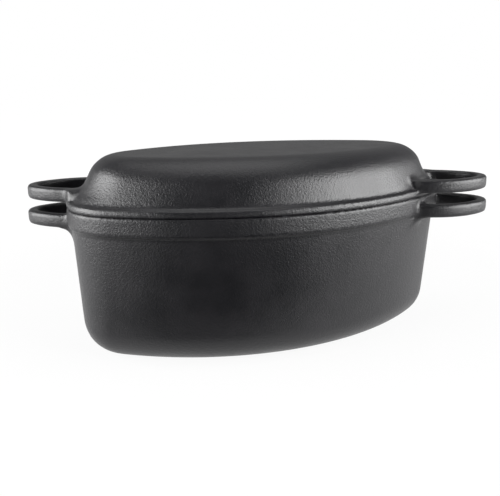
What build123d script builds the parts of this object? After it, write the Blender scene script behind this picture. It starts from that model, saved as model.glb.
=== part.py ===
"""Oval cast iron roaster: a deep pot and a domed lid, each cast in one piece with two open loop handles."""
import math
import os

from build123d import *

# Driving dimensions, in millimetres and degrees

# Outline of the rim, which the lid's flange shares
rim_half_length = 165.0
rim_half_width = 91.9
end_arc_angle = 54.0        # how far round, from the long axis, the tight end arcs run before the long side arcs

# Pot
pot_height = 123.2
band_height = 14.6          # plain band round the mouth
band_stand = 3.0            # how far the band stands out from the wall under it
band_cove = 1.6             # concave radius under the band
band_edge = 0.8             # rounding of the band's two edges
pot_end_draft = 2.9         # lean of the wall at the ends
pot_side_draft = 8.1        # lean of the wall along the sides
pot_wall = 4.5
pot_floor = 5.0
pot_foot_radius = 31.0      # large radius between wall and floor
mouth_edge = 0.6            # rounding of the inner edge of the mouth

# Lid
flange_height = 5.8
flange_edge = 0.8
dome_inset = 4.6            # flat width of the flange outside the dome
dome_height = 35.1          # from the flange to the flat top
dome_end_lean = 34.0        # lean of the dome's wall at the ends
dome_side_lean = 14.0       # lean of the dome's wall along the sides
crease_radius = 2.5         # concave radius where the dome rises from the flange
dome_top_radius = 26.5
dome_wall = 4.5
dome_ceiling = 5.0
lip_depth = 5.0             # ridge under the lid that drops into the pot's mouth and keeps the lid in place
lip_thickness = 3.0
lip_clearance = 1.0
lip_rounding = 1.2

# Loop handles, which have one outline on pot and lid
handle_turn = -14.9         # turn of the line through both handles, away from the oval's long axis
lid_handle_reach = 197.4    # centre of the roaster to the tip of a loop
pot_handle_reach = 198.7
loop_half_length = 50.4
loop_half_width = 34.8
loop_arc_angle = 43.0
bar_width = 8.5
handle_thickness = 11.3
parting_step = 0.3          # the loops are this much smaller all round below the level at which the mould parts
handle_top_rounding = 2.5
handle_under_rounding = 2.0
flare_radius = 9.0          # concave radius, in plan, where each leg runs into the rim
hole_corner_radius = 5.0
flare_bury = 0.9            # the flares start this far inside the surface that they grow from
pot_handle_drop = 6.1       # rim down to the top of the pot's handles
lid_handle_lift = 3.4       # rim up to the underside of the lid's handles
handle_cove_radius = 13.0   # concave radius from the underside of the pot's handles into the wall
root_margin = 7.5           # the lid's roots are this much wider than the loop on each side
root_depth = 60.0           # they start this far inside the loop's middle, under the dome
root_edge_radius = 3.5      # upright convex edge at each side of a root
root_cove_radius = 8.0      # upright concave edge between a root and the dome
hole_margin = 2.0           # the lid's finger holes end this far outside the dome

# Heights worked out from them
band_bottom = pot_height - band_height
pot_handle_top = pot_height - pot_handle_drop
pot_handle_bottom = pot_handle_top - handle_thickness
flange_top = pot_height + flange_height
lid_handle_bottom = pot_height + lid_handle_lift
lid_handle_top = lid_handle_bottom + handle_thickness
dome_top = flange_top + dome_height


def end_radius(half_length, half_width, arc_angle=end_arc_angle):
    """Radius of the tight arcs at the ends of a four-arc oval."""
    angle = math.radians(arc_angle)
    slope = (1 - math.sin(angle)) / math.cos(angle)
    return (half_width - half_length * slope) / (1 - slope)


def oval(half_length, half_width, arc_angle=end_arc_angle):
    """Closed four-arc oval about the origin; ovals with one arc angle are offsets of each other."""
    angle = math.radians(arc_angle)
    radius = end_radius(half_length, half_width, arc_angle)
    join_x = half_length - radius + radius * math.cos(angle)
    join_y = radius * math.sin(angle)
    ends = [
        ThreePointArc((side * join_x, -join_y), (side * half_length, 0), (side * join_x, join_y))
        for side in (1, -1)
    ]
    sides = [
        ThreePointArc((-join_x, side * join_y), (0, side * half_width), (join_x, side * join_y))
        for side in (1, -1)
    ]
    return make_face(ends + sides)


def rim_outline(inset=0.0):
    return oval(rim_half_length - inset, rim_half_width - inset)


def leaning_sizes(inset, rise, end_lean, side_lean):
    """Half length and half width of the rim after an inset and after leaning inwards over rise."""
    end_inset = inset + rise * math.tan(math.radians(end_lean))
    side_inset = inset + rise * math.tan(math.radians(side_lean))
    return rim_half_length - end_inset, rim_half_width - side_inset


def wall_sizes(height, depth=0.0):
    """Half sizes of the pot's wall at one height, or of the surface that lies depth inside it."""
    return leaning_sizes(band_stand + depth, band_bottom - height, pot_end_draft, pot_side_draft)


def wall_outline(height, depth=0.0):
    return oval(*wall_sizes(height, depth))


def dome_sizes(height, depth=0.0):
    """Half sizes of the lid's dome at one height, before its top radius."""
    return leaning_sizes(dome_inset + depth, height - flange_top, dome_end_lean, dome_side_lean)


def dome_outline(height, depth=0.0):
    return oval(*dome_sizes(height, depth))


def edge_radius(wanted, sizes):
    """Radius for the edge round an oval with these half sizes; its tight ends take hardly more than their own."""
    return min(wanted, 0.95 * end_radius(*sizes))


def lip_outline(depth=0.0):
    return wall_outline(pot_height - lip_depth, pot_wall + lip_clearance + depth)


def slab(outline, bottom, top):
    return Pos(0, 0, bottom) * extrude(outline, top - bottom)


def leaning_block(lower, bottom, upper, top):
    return loft([Pos(0, 0, bottom) * lower, Pos(0, 0, top) * upper], ruled=True)


def edges_at(solid, height):
    return solid.edges().filter_by_position(Axis.Z, height - 0.01, height + 0.01)


def edges_along(solid, outline, height):
    """The edges of a solid that run along an outline drawn at one height."""
    line = Pos(0, 0, height) * outline.wire()
    return [edge for edge in edges_at(solid, height) if line.distance_to(edge @ 0.5) < 0.05]


def loops(reach, inset=0.0):
    """Outlines of both handle loops, drawn in by inset."""
    loop = Pos(reach - loop_half_length, 0) * oval(
        loop_half_length - inset, loop_half_width - inset, loop_arc_angle
    )
    return [Rot(0, 0, handle_turn + half_turn) * loop for half_turn in (0, 180)]


def round_inner_corners(region, radius):
    """Fill each concave corner of a plan with an arc."""
    return offset(offset(region, radius), -radius)


def round_outer_corners(region, radius):
    """Round each convex corner of a plan."""
    return offset(offset(region, -radius), radius)


def flared_plan(casting, reach, inset=0.0):
    """Plan of a casting with both loops, unpierced, and with the legs flared into it."""
    outers = loops(reach, inset)
    return round_inner_corners(casting + outers[0] + outers[1], flare_radius)


def finger_holes(casting, reach):
    """What is open inside each loop, with round corners where the loop meets the casting."""
    holes = [
        round_outer_corners(inner - casting, hole_corner_radius)
        for inner in loops(reach, bar_width)
    ]
    return holes[0] + holes[1]


def lid_root_plan():
    """Plan of the lid's handles above the flange, where broad roots run on over it into the dome."""
    dome = dome_outline(lid_handle_top, flare_bury)
    flared = flared_plan(rim_outline(flare_bury), lid_handle_reach)
    inner_end = lid_handle_reach - loop_half_length - root_depth
    length = lid_handle_reach + flare_radius - inner_end
    block = Pos(inner_end + length / 2, 0) * Rectangle(length, 2 * (loop_half_width + root_margin))
    blocks = Rot(0, 0, handle_turn) * block + Rot(0, 0, handle_turn + 180) * block
    roots = round_outer_corners(flared & blocks, root_edge_radius)
    plan = round_inner_corners(dome + roots, root_cove_radius)
    return plan - finger_holes(dome_outline(lid_handle_top, -hole_margin), lid_handle_reach)


def handle_layers(lower_plan, upper_plan, bottom, middle, top):
    """Both handles as two layers, as the casting that they run into is wider or narrower above middle."""
    lower = slab(lower_plan, bottom, middle)
    upper = slab(upper_plan, middle, top)
    lower = fillet(edges_at(lower, bottom), handle_under_rounding)
    upper = fillet(edges_at(upper, top), handle_top_rounding)
    return lower, upper


def pot_wall_block(top):
    """The pot's wall as a solid block, leaning more at the sides than at the ends, on its rounded foot."""
    block = leaning_block(wall_outline(0), 0, wall_outline(top), top)
    return fillet(edges_at(block, 0), edge_radius(pot_foot_radius, wall_sizes(0)))


def pot_cavity():
    cavity = leaning_block(
        wall_outline(pot_floor, pot_wall), pot_floor, wall_outline(pot_height, pot_wall), pot_height
    )
    radius = edge_radius(pot_foot_radius - pot_wall, wall_sizes(pot_floor, pot_wall))
    return fillet(edges_at(cavity, pot_floor), radius)


def pot_handle_coves(legs):
    """Gussets under the legs: a ledge coved into the wall, kept only below the handles."""
    ledge = slab(rim_outline(-2 * handle_cove_radius), pot_handle_bottom, pot_handle_top)
    coved = pot_wall_block(pot_handle_bottom) + ledge
    corner = edges_along(coved, wall_outline(pot_handle_bottom), pot_handle_bottom)
    coved = fillet(corner, handle_cove_radius)
    return coved & slab(legs, 0, pot_handle_bottom)


def make_pot():
    band = slab(rim_outline(), band_bottom, pot_height)
    band = fillet(edges_at(band, band_bottom) + edges_at(band, pot_height), band_edge)
    body = pot_wall_block(pot_height) + band
    body = fillet(edges_along(body, wall_outline(band_bottom), band_bottom), band_cove)
    wall = wall_outline(band_bottom, flare_bury)
    rim = rim_outline(flare_bury)
    lower_plan = flared_plan(wall, pot_handle_reach, parting_step) - finger_holes(wall, pot_handle_reach)
    upper_plan = flared_plan(rim, pot_handle_reach) - finger_holes(rim, pot_handle_reach)
    lower, upper = handle_layers(lower_plan, upper_plan, pot_handle_bottom, band_bottom, pot_handle_top)
    body = body + lower + upper + pot_handle_coves(lower_plan) - pot_cavity()
    return fillet(edges_along(body, wall_outline(pot_height, pot_wall), pot_height), mouth_edge)


def lid_hollow():
    mouth = slab(lip_outline(lip_thickness), pot_height - lip_depth, flange_top)
    ceiling = dome_top - dome_ceiling
    vault = leaning_block(
        lip_outline(lip_thickness), flange_top, dome_outline(ceiling, dome_wall), ceiling
    )
    radius = edge_radius(dome_top_radius - dome_wall, dome_sizes(ceiling, dome_wall))
    vault = fillet(edges_at(vault, ceiling), radius)
    return mouth + vault


def make_lid():
    dome = leaning_block(dome_outline(flange_top), flange_top, dome_outline(dome_top), dome_top)
    dome = fillet(edges_at(dome, dome_top), edge_radius(dome_top_radius, dome_sizes(dome_top)))
    flange = slab(rim_outline(), pot_height, flange_top)
    flange = fillet(edges_at(flange, pot_height) + edges_at(flange, flange_top), flange_edge)
    body = flange + dome
    body = fillet(edges_along(body, dome_outline(flange_top), flange_top), crease_radius)
    lip = slab(lip_outline(), pot_height - lip_depth, pot_height)
    lip = fillet(edges_at(lip, pot_height - lip_depth), lip_rounding)
    rim = rim_outline(flare_bury)
    flange_plan = flared_plan(rim, lid_handle_reach, parting_step) - finger_holes(rim, lid_handle_reach)
    lower, upper = handle_layers(
        flange_plan, lid_root_plan(), lid_handle_bottom, flange_top, lid_handle_top
    )
    return body + lip + lower + upper - lid_hollow()


os.makedirs("parts", exist_ok=True)
export_step(make_pot(), "parts/pot.step")
export_step(make_lid(), "parts/lid.step")
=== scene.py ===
import math

import bmesh
import bpy
import numpy as np
from mathutils import Euler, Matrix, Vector


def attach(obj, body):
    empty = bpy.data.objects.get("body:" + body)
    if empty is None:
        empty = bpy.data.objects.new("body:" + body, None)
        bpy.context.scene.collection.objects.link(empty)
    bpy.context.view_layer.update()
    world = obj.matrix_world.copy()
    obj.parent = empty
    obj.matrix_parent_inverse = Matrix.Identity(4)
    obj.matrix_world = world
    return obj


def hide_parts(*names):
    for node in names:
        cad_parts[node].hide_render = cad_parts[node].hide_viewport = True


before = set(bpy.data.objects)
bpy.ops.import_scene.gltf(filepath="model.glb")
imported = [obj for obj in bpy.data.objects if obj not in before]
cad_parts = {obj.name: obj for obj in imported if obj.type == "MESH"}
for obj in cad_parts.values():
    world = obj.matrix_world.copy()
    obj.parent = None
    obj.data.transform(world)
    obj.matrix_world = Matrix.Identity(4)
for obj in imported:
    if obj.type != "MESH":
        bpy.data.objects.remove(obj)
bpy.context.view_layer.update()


def linear(hexColour):  # sRGB hex to linear RGBA
    channels = [int(hexColour[i:i + 2], 16) / 255 for i in (0, 2, 4)]
    return [c / 12.92 if c <= 0.04045 else ((c + 0.055) / 1.055) ** 2.4 for c in channels] + [1.0]


def addNode(tree, kind, values=None, links=None, **settings):  # one node with its settings and links
    node = tree.nodes.new(kind)
    for name, value in settings.items():
        setattr(node, name, value)
    for name, value in (values or {}).items():
        node.inputs[name].default_value = value
    for name, output in (links or {}).items():
        tree.links.new(output, node.inputs[name])
    return node


# All sizes are in metres and all angles in degrees.

# Camera: where the photograph was taken from
cameraPlace = {
    "azimuth": -20.0,        # seen from a little to the left
    "elevation": 14.46,
    "roll": -0.54,
    "distance": 0.5737,      # from the aimed point
    "aim": (-0.0126, 0.0, 0.0771),
    "focalPixels": 654.05,   # focal length in pixels of the 500 pixel wide frame
    "frameWidth": 500.0,
}


def makeCamera(place):
    data = bpy.data.cameras.new("camera")
    data.sensor_fit = "HORIZONTAL"
    data.sensor_width = 36.0
    data.lens = place["focalPixels"] / place["frameWidth"] * data.sensor_width
    camera = bpy.data.objects.new("camera", data)
    bpy.context.scene.collection.objects.link(camera)
    turn = Euler((0, 0, math.radians(place["azimuth"]))).to_matrix()
    tip = Euler((math.radians(90 - place["elevation"]), 0, 0)).to_matrix()
    roll = Euler((0, 0, math.radians(place["roll"]))).to_matrix()
    facing = turn @ tip @ roll
    camera.matrix_world = facing.to_4x4()
    camera.location = Vector(place["aim"]) + place["distance"] * facing.col[2]
    bpy.context.scene.camera = camera


makeCamera(cameraPlace)
print("camera set")


# Roaster: what pot and lid share
roaster = {
    "rimHalf": (0.1650, 0.0919),  # half the length and half the width of the rim
    "rimArc": 54.0,          # how far round, from the long axis, the tight end arcs run
    "seamHeight": 0.1232,    # the lid rests on the pot here
    "handleTurn": -14.9,     # from the long axis to the line through both handles
    "loopHalf": (0.0504, 0.0348),  # half the length and half the width of a handle's oval
    "loopArc": 43.0,
}


def smoothStep(values, low, high):
    part = np.clip((values - low) / (high - low), 0, 1)
    return part * part * (3 - 2 * part)


def ovalDistance(x, y, half, arcAngle):  # signed distance to a four-arc oval, and the way out of it
    angle = math.radians(arcAngle)
    slope = (1 - math.sin(angle)) / math.cos(angle)
    endRadius = (half[1] - half[0] * slope) / (1 - slope)
    endCentre = half[0] - endRadius
    sideCentre = -endCentre * math.tan(angle)
    sideRadius = half[1] - sideCentre
    alongX, alongY = np.abs(x), np.abs(y)
    onEnd = alongY <= (alongX - endCentre) * math.tan(angle)
    dx = np.where(onEnd, alongX - endCentre, alongX)
    dy = np.where(onEnd, alongY, alongY - sideCentre)
    length = np.maximum(np.hypot(dx, dy), 1e-9)
    distance = length - np.where(onEnd, endRadius, sideRadius)
    return distance, np.stack([np.sign(x) * dx / length, np.sign(y) * dy / length], axis=1)


# Distance from the rim, or from the rim drawn in by inset and leaning in over rise
def rimDistance(points, inset=0.0, rise=0.0, lean=(0.0, 0.0)):
    ends, sides = (inset + rise * math.tan(math.radians(angle)) for angle in lean)
    half = (roaster["rimHalf"][0] - ends, roaster["rimHalf"][1] - sides)
    return ovalDistance(points[:, 0], points[:, 1], half, roaster["rimArc"])


def wallDistance(points, values):  # how far along a casting's leaning wall, how far outside it, and which way
    rise = values["wallUp"] * (points[:, 2] - values["wallStart"])
    distance, outward = rimDistance(points, values["wallInset"], np.maximum(rise, 0), values["wallLean"])
    return rise, distance, outward


def handlePlace(points):  # along and across the nearer handle; across is positive on its long root's side
    turn = math.radians(roaster["handleTurn"])
    along = points[:, 0] * math.cos(turn) + points[:, 1] * math.sin(turn)
    across = -points[:, 0] * math.sin(turn) + points[:, 1] * math.cos(turn)
    side = np.where(along < 0, -1.0, 1.0)
    return along * side, across * side


def loopDistance(points, values):  # from the outer outline of the nearer handle
    along, across = handlePlace(points)
    half = roaster["loopHalf"]
    centre = values["handleReach"] - half[0]
    return ovalDistance(along - centre, across, half, roaster["loopArc"])[0]


# Pot: its wall, and the ring that is cleared from it
pot = {
    "handleReach": 0.1987,        # middle of the roaster to the tip of a handle
    "wallStart": 0.1086,          # the wall runs down from under the band
    "wallUp": -1,
    "wallInset": 0.0030,          # inside the rim's outline
    "wallLean": (2.9, 8.1),       # at the ends and along the sides
    "rootRise": (0.0010, 0.0040),  # the roots get softer over this much of the wall
    "bandCove": 0.0018,           # the small radius under the band is left alone
    "ringBottom": 0.0900,         # the coves under the handles leave a ring on the solid's wall above this
    "ringStand": 0.0018,          # a little more than it stands out
    "ringClear": (0.004, 0.011),  # it is left near the handles and gone this far outside their outline
}


def clearedPot(points, values):  # the wall runs straight down between the coves under the handles
    rise, distance, outward = wallDistance(points, values)
    ring = (rise > values["bandCove"]) & (points[:, 2] > values["ringBottom"])
    ring &= (distance > 0) & (distance < values["ringStand"])
    share = ring * smoothStep(loopDistance(points, values), *values["ringClear"])
    points[:, :2] -= (share * distance)[:, None] * outward


# Lid: its dome and flange, and what is trimmed on them
lid = {
    "handleReach": 0.1974,
    "wallStart": 0.1290,          # the dome rises from the flange
    "wallUp": 1,
    "wallInset": 0.0046,
    "wallLean": (34.0, 14.0),
    "rootRise": (0.0002, 0.0025),
    "shortRoot": {                # the root on a handle's short side is cut back to the dome
        "rise": 0.0003,           # from just above the flange
        "top": 0.1387,            # to just above the handle
        "stand": 0.0001,
        "along": 0.06,            # from the middle of the roaster
        "clear": (0.0002, 0.0012),  # outside the handle's outline
    },
    "domeFoot": {                 # at the ends the dome's foot is drawn in
        "depth": 0.0017,
        "ends": (0.55, 0.95),     # share of the way out that points along the roaster
        "from": (0.001, 0.009),   # heights above the flange, over which it starts and ends
        "to": (0.012, 0.026),
        "skin": (-0.0025, 0.002),  # only points this near the dome's outer face
    },
    "flangeFace": {               # its face leans in, which makes it lighter than the band
        "lean": 8.0,
        "skin": (-0.004, -0.001),  # inside the rim's outline
        "outside": 0.0005,
        "over": 0.0005,           # the lean goes on this far above the flange
        "clear": (0.002, 0.012),
    },
}


def clearedLid(points, values):
    rise, distance, outward = wallDistance(points, values)
    along, across = handlePlace(points)
    root = values["shortRoot"]
    share = (rise > root["rise"]) & (points[:, 2] < root["top"]) & (distance > root["stand"])
    share = share & (across < 0) & (along > root["along"])
    share = share * smoothStep(loopDistance(points, values), *root["clear"])
    points[:, :2] -= (share * distance)[:, None] * outward

    foot = values["domeFoot"]
    share = smoothStep(np.abs(outward[:, 0]), *foot["ends"])
    share *= smoothStep(rise, *foot["from"]) * (1 - smoothStep(rise, *foot["to"]))
    share *= (distance > foot["skin"][0]) & (distance < foot["skin"][1])
    points[:, :2] -= (foot["depth"] * share)[:, None] * outward

    face = values["flangeFace"]
    distance, outward = rimDistance(points)
    share = smoothStep(distance, *face["skin"]) * (distance < face["outside"])
    share *= smoothStep(loopDistance(points, values), *face["clear"])
    height = values["wallStart"] - roaster["seamHeight"] + face["over"]
    climb = np.clip(points[:, 2] - roaster["seamHeight"], 0, height)
    points[:, :2] -= (share * climb * math.tan(math.radians(face["lean"])))[:, None] * outward


# Skin of both castings, with the soft transitions that a sand mould leaves
skin = {
    "gridSize": 0.0011,           # between the points of the remeshed skin
    "edgeSteps": 1,               # smoothing passes everywhere, which set how soft the edges are
    "rootSteps": 30,              # more passes where the handles grow out of the walls
    "crispShare": 0.12,           # how much of the smoothing the edges at the seam get
    "crispSpan": (0.0015, 0.0035),  # from the seam, over which that grows to the whole of it
    "crispDepth": 0.002,          # inside the rim's outline
    "rootDepth": 0.003,           # inside the wall, where the passes at the roots end
    "rootReach": (0.0045, 0.009),  # outside the wall, over which they fade
    "rootSpread": (0.010, 0.022),  # outside the handle's outline, likewise
    "rootAcross": (0.014, 0.022),  # from the handle's middle line, which leaves the bar as it is
    "rootAlong": 0.07,            # from the middle of the roaster
}


def edgeWeights(points):
    fromSeam = np.abs(points[:, 2] - roaster["seamHeight"])
    crisp = skin["crispShare"] + (1 - skin["crispShare"]) * smoothStep(fromSeam, *skin["crispSpan"])
    return np.where(rimDistance(points)[0] > -skin["crispDepth"], crisp, 1.0)


def rootWeights(points, values):  # where a handle's legs run into the wall, not along the bar itself
    rise, distance, outward = wallDistance(points, values)
    along, across = handlePlace(points)
    weights = smoothStep(rise, *values["rootRise"]) * (1 - smoothStep(distance, *skin["rootReach"]))
    weights *= 1 - smoothStep(loopDistance(points, values), *skin["rootSpread"])
    weights *= smoothStep(np.abs(across), *skin["rootAcross"])
    return weights * (distance > -skin["rootDepth"]) * (along > skin["rootAlong"])


def softened(points, edges, weights, steps):  # each pass moves a point towards the mean of its neighbours
    first, second = edges[:, 0], edges[:, 1]
    count = np.bincount(edges.ravel(), minlength=len(points))[:, None]
    for step in range(steps):
        total = np.stack([
            np.bincount(first, points[second, axis], len(points))
            + np.bincount(second, points[first, axis], len(points))
            for axis in range(3)
        ], axis=1)
        points = points + 0.5 * weights[:, None] * (total / count - points)
    return points


def remeshed(mesh):
    holder = bpy.data.objects.new("holder", mesh)
    bpy.context.scene.collection.objects.link(holder)
    modifier = holder.modifiers.new("skin", "REMESH")
    modifier.mode = "VOXEL"
    modifier.voxel_size = skin["gridSize"]
    seen = holder.evaluated_get(bpy.context.evaluated_depsgraph_get())
    result = bpy.data.meshes.new_from_object(seen)
    bpy.data.objects.remove(holder)
    return result


def meshPoints(mesh):
    flat = np.empty(len(mesh.vertices) * 3)
    mesh.vertices.foreach_get("co", flat)
    return flat.reshape(-1, 3)


def meshEdges(mesh):
    flat = np.empty(len(mesh.edges) * 2, dtype=np.int64)
    mesh.edges.foreach_get("vertices", flat)
    return flat.reshape(-1, 2)


def mergedMesh(name):  # the frame's mesh with its faces joined at their edges
    source = bmesh.new()
    source.from_mesh(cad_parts[name].data)
    bmesh.ops.remove_doubles(source, verts=source.verts, dist=1e-6)
    merged = bpy.data.meshes.new(name + "_merged")
    source.to_mesh(merged)
    source.free()
    return merged


def makeCasting(name, bodyName, values, cleared):
    mesh = remeshed(mergedMesh(name))
    points = meshPoints(mesh)
    cleared(points, values)
    mesh.vertices.foreach_set("co", points.ravel())
    mesh = remeshed(mesh)
    points, edges = meshPoints(mesh), meshEdges(mesh)
    points = softened(points, edges, rootWeights(points, values), skin["rootSteps"])
    points = softened(points, edges, edgeWeights(points), skin["edgeSteps"])
    mesh.vertices.foreach_set("co", points.ravel())
    mesh.polygons.foreach_set("use_smooth", [True] * len(mesh.polygons))
    piece = bpy.data.objects.new(name + "_casting", mesh)
    bpy.context.scene.collection.objects.link(piece)
    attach(piece, bodyName)
    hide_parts(name)
    print("casting", name, len(mesh.polygons), "faces")
    return piece


castings = [makeCasting("pot", "pot", pot, clearedPot), makeCasting("lid", "lid", lid, clearedLid)]


# Seasoned cast iron, sand-cast and baked with oil: near black, with a satin sheen over a pebbled skin that is
# a little dustier in places. The oil's skin covers the bare metal, so the shader isn't metallic.
ironLook = {
    "dark": "101013",
    "dusty": "19181b",
    "roughness": (0.34, 0.42),
    "grainSize": 0.0013,     # one grain of the mould's sand, drawn coarser than real so that it shows
    "grainDepth": 0.00027,
    "pebbleSize": 0.0020,    # the broader unevenness left by the mould's coating
    "pebbleDepth": 0.00017,
    "mottleSize": 0.030,     # patches of thicker and thinner seasoning
    "mottleColours": (0.35, 0.7),  # the noise's values at the dark and the dusty colour
    "mottleSheen": (0.3, 0.7),     # and at the two roughnesses
}


def makeIron(look):
    material = bpy.data.materials.new("seasoned_cast_iron")
    material.use_nodes = True
    tree = material.node_tree
    tree.nodes.clear()
    output = addNode(tree, "ShaderNodeOutputMaterial")
    place = addNode(tree, "ShaderNodeTexCoord").outputs["Object"]
    mottle, pebbles, grain = (
        addNode(
            tree, "ShaderNodeTexNoise",
            {"Scale": 1 / size, "Detail": detail, "Roughness": roughness}, {"Vector": place},
        ).outputs["Fac"]
        for size, detail, roughness in (
            (look["mottleSize"], 4.0, 0.6), (look["pebbleSize"], 2.0, 0.5), (look["grainSize"], 2.0, 0.6)
        )
    )
    colour = addNode(tree, "ShaderNodeValToRGB", {}, {"Fac": mottle})
    for stop, position, shade in zip(
        colour.color_ramp.elements, look["mottleColours"], (look["dark"], look["dusty"])
    ):
        stop.position = position
        stop.color = linear(shade)
    sheen = addNode(
        tree, "ShaderNodeMapRange",
        {"From Min": look["mottleSheen"][0], "From Max": look["mottleSheen"][1],
         "To Min": look["roughness"][0], "To Max": look["roughness"][1]},
        {"Value": mottle},
    )
    broad = addNode(
        tree, "ShaderNodeBump", {"Strength": 1.0, "Distance": look["pebbleDepth"]}, {"Height": pebbles}
    )
    fine = addNode(
        tree, "ShaderNodeBump", {"Strength": 1.0, "Distance": look["grainDepth"]},
        {"Height": grain, "Normal": broad.outputs["Normal"]},
    )
    shader = addNode(
        tree, "ShaderNodeBsdfPrincipled", {"Metallic": 0.0},
        {"Base Color": colour.outputs["Color"], "Roughness": sheen.outputs["Result"],
         "Normal": fine.outputs["Normal"]},
    )
    tree.links.new(shader.outputs["BSDF"], output.inputs["Surface"])
    return material


iron = makeIron(ironLook)
for piece in castings:
    piece.data.materials.clear()
    piece.data.materials.append(iron)
print("materials set")


# Studio: white ground, a large soft light on each side and a weak one above. What the iron mirrors is white
# beside and behind the object and dark in front of it, on the camera's side.
studio = {
    "floorSize": 12.0,
    "sideLight": {"energy": 47.0, "size": (1.5, 1.0), "distance": 1.3, "height": 0.36, "angle": 73.0},
    "topLight": {"energy": 8.0, "size": (1.2, 1.2), "height": 1.4},
    "aimHeight": 0.08,       # what the side lights point at
    "ground": (0.92, 1.0),   # share of white that the ground gives off near the object and far off
    "groundFade": (0.35, 1.2),  # from the object's middle, where one becomes the other
    "groundColour": "444444",   # takes the object's shadow
    "groundBack": (-0.14, -0.09),  # away from the camera, over which the mirrored ground gets white
    "groundSides": (0.09, 0.30),   # to either side, likewise
    "groundGlow": 1.0,       # how white the mirrored ground is
    "skyBack": (0.0, 0.8),   # the same for the mirrored background, as a share of its direction
    "skySides": (2.0, 3.0),  # never, as a direction is 1 long
    "skyGlow": 0.35,
    "room": 0.002,           # light from all round
}


def makeLight(name, values, place, aim):
    data = bpy.data.lights.new(name, "AREA")
    data.shape = "RECTANGLE"
    data.energy = values["energy"]
    data.size, data.size_y = values["size"]
    light = bpy.data.objects.new(name, data)
    bpy.context.scene.collection.objects.link(light)
    light.location = place
    light.rotation_euler = (Vector(aim) - Vector(place)).to_track_quat("-Z", "Y").to_euler()


def towards(tree, place, degrees):  # how far a place lies along a level direction; 0 is the camera's own
    angle = math.radians(cameraPlace["azimuth"] + degrees)
    way = (-math.sin(angle), math.cos(angle), 0)
    product = addNode(tree, "ShaderNodeVectorMath", {1: way}, {0: place}, operation="DOT_PRODUCT")
    return product.outputs["Value"]


def seenShare(tree, place, back, sides, most):  # 1 for camera and transmission rays, up to most for glossy rays
    rays = addNode(tree, "ShaderNodeLightPath").outputs
    across = addNode(tree, "ShaderNodeMath", {}, {0: towards(tree, place, 90)}, operation="ABSOLUTE")
    behind, beside = (
        addNode(
            tree, "ShaderNodeMapRange",
            {"From Min": span[0], "From Max": span[1], "To Min": 0.0, "To Max": most},
            {"Value": value}, interpolation_type="SMOOTHSTEP",
        ).outputs["Result"]
        for value, span in ((towards(tree, place, 0), back), (across.outputs["Value"], sides))
    )
    share = behind
    for operation, other in (
        ("MAXIMUM", beside),
        ("MULTIPLY", rays["Is Glossy Ray"]),
        ("MAXIMUM", rays["Is Camera Ray"]),
        ("MAXIMUM", rays["Is Transmission Ray"]),
    ):
        share = addNode(tree, "ShaderNodeMath", {}, {0: share, 1: other}, operation=operation).outputs["Value"]
    return share


def makeLights(values):
    side, top = values["sideLight"], values["topLight"]
    for name, sign in (("left_light", -1), ("right_light", 1)):
        angle = math.radians(cameraPlace["azimuth"] + sign * side["angle"])
        place = (side["distance"] * math.sin(angle), -side["distance"] * math.cos(angle), side["height"])
        makeLight(name, side, place, (0, 0, values["aimHeight"]))
    makeLight("top_light", top, (0, 0, top["height"]), (0, 0, 0))


def makePaper(values):
    material = bpy.data.materials.new("white_paper")
    material.use_nodes = True
    tree = material.node_tree
    tree.nodes.clear()
    output = addNode(tree, "ShaderNodeOutputMaterial")
    place = addNode(tree, "ShaderNodeTexCoord").outputs["Object"]
    share = seenShare(tree, place, values["groundBack"], values["groundSides"], values["groundGlow"])
    away = addNode(tree, "ShaderNodeVectorMath", {}, {0: place}, operation="LENGTH")
    white = addNode(
        tree, "ShaderNodeMapRange",
        {"From Min": values["groundFade"][0], "From Max": values["groundFade"][1],
         "To Min": values["ground"][0], "To Max": values["ground"][1]},
        {"Value": away.outputs["Value"]},
    )
    strength = addNode(tree, "ShaderNodeMath", {}, {0: share, 1: white.outputs["Result"]}, operation="MULTIPLY")
    paper = addNode(tree, "ShaderNodeBsdfDiffuse", {"Color": linear(values["groundColour"])})
    glow = addNode(tree, "ShaderNodeEmission", {"Color": (1, 1, 1, 1)}, {"Strength": strength.outputs["Value"]})
    both = addNode(tree, "ShaderNodeAddShader", {}, {0: paper.outputs[0], 1: glow.outputs[0]})
    tree.links.new(both.outputs[0], output.inputs["Surface"])
    return material


def makeFloor(values):
    half = values["floorSize"] / 2
    corners = [(-half, -half, 0), (half, -half, 0), (half, half, 0), (-half, half, 0)]
    mesh = bpy.data.meshes.new("floor")
    mesh.from_pydata(corners, [], [(0, 1, 2, 3)])
    mesh.materials.append(makePaper(values))
    floor = bpy.data.objects.new("floor", mesh)
    bpy.context.scene.collection.objects.link(floor)


def makeWorld(values):
    world = bpy.data.worlds.new("studio")
    world.use_nodes = True
    tree = world.node_tree
    tree.nodes.clear()
    output = addNode(tree, "ShaderNodeOutputWorld")
    place = addNode(tree, "ShaderNodeTexCoord").outputs["Generated"]
    share = seenShare(tree, place, values["skyBack"], values["skySides"], values["skyGlow"])
    white = addNode(tree, "ShaderNodeBackground", {"Color": (1, 1, 1, 1), "Strength": 1.0})
    room = addNode(tree, "ShaderNodeBackground", {"Color": (1, 1, 1, 1), "Strength": values["room"]})
    mix = addNode(tree, "ShaderNodeMixShader", {}, {0: share, 1: room.outputs[0], 2: white.outputs[0]})
    tree.links.new(mix.outputs[0], output.inputs["Surface"])
    bpy.context.scene.world = world


makeLights(studio)
makeFloor(studio)
makeWorld(studio)
bpy.context.scene.view_settings.view_transform = "Standard"
print("studio set")
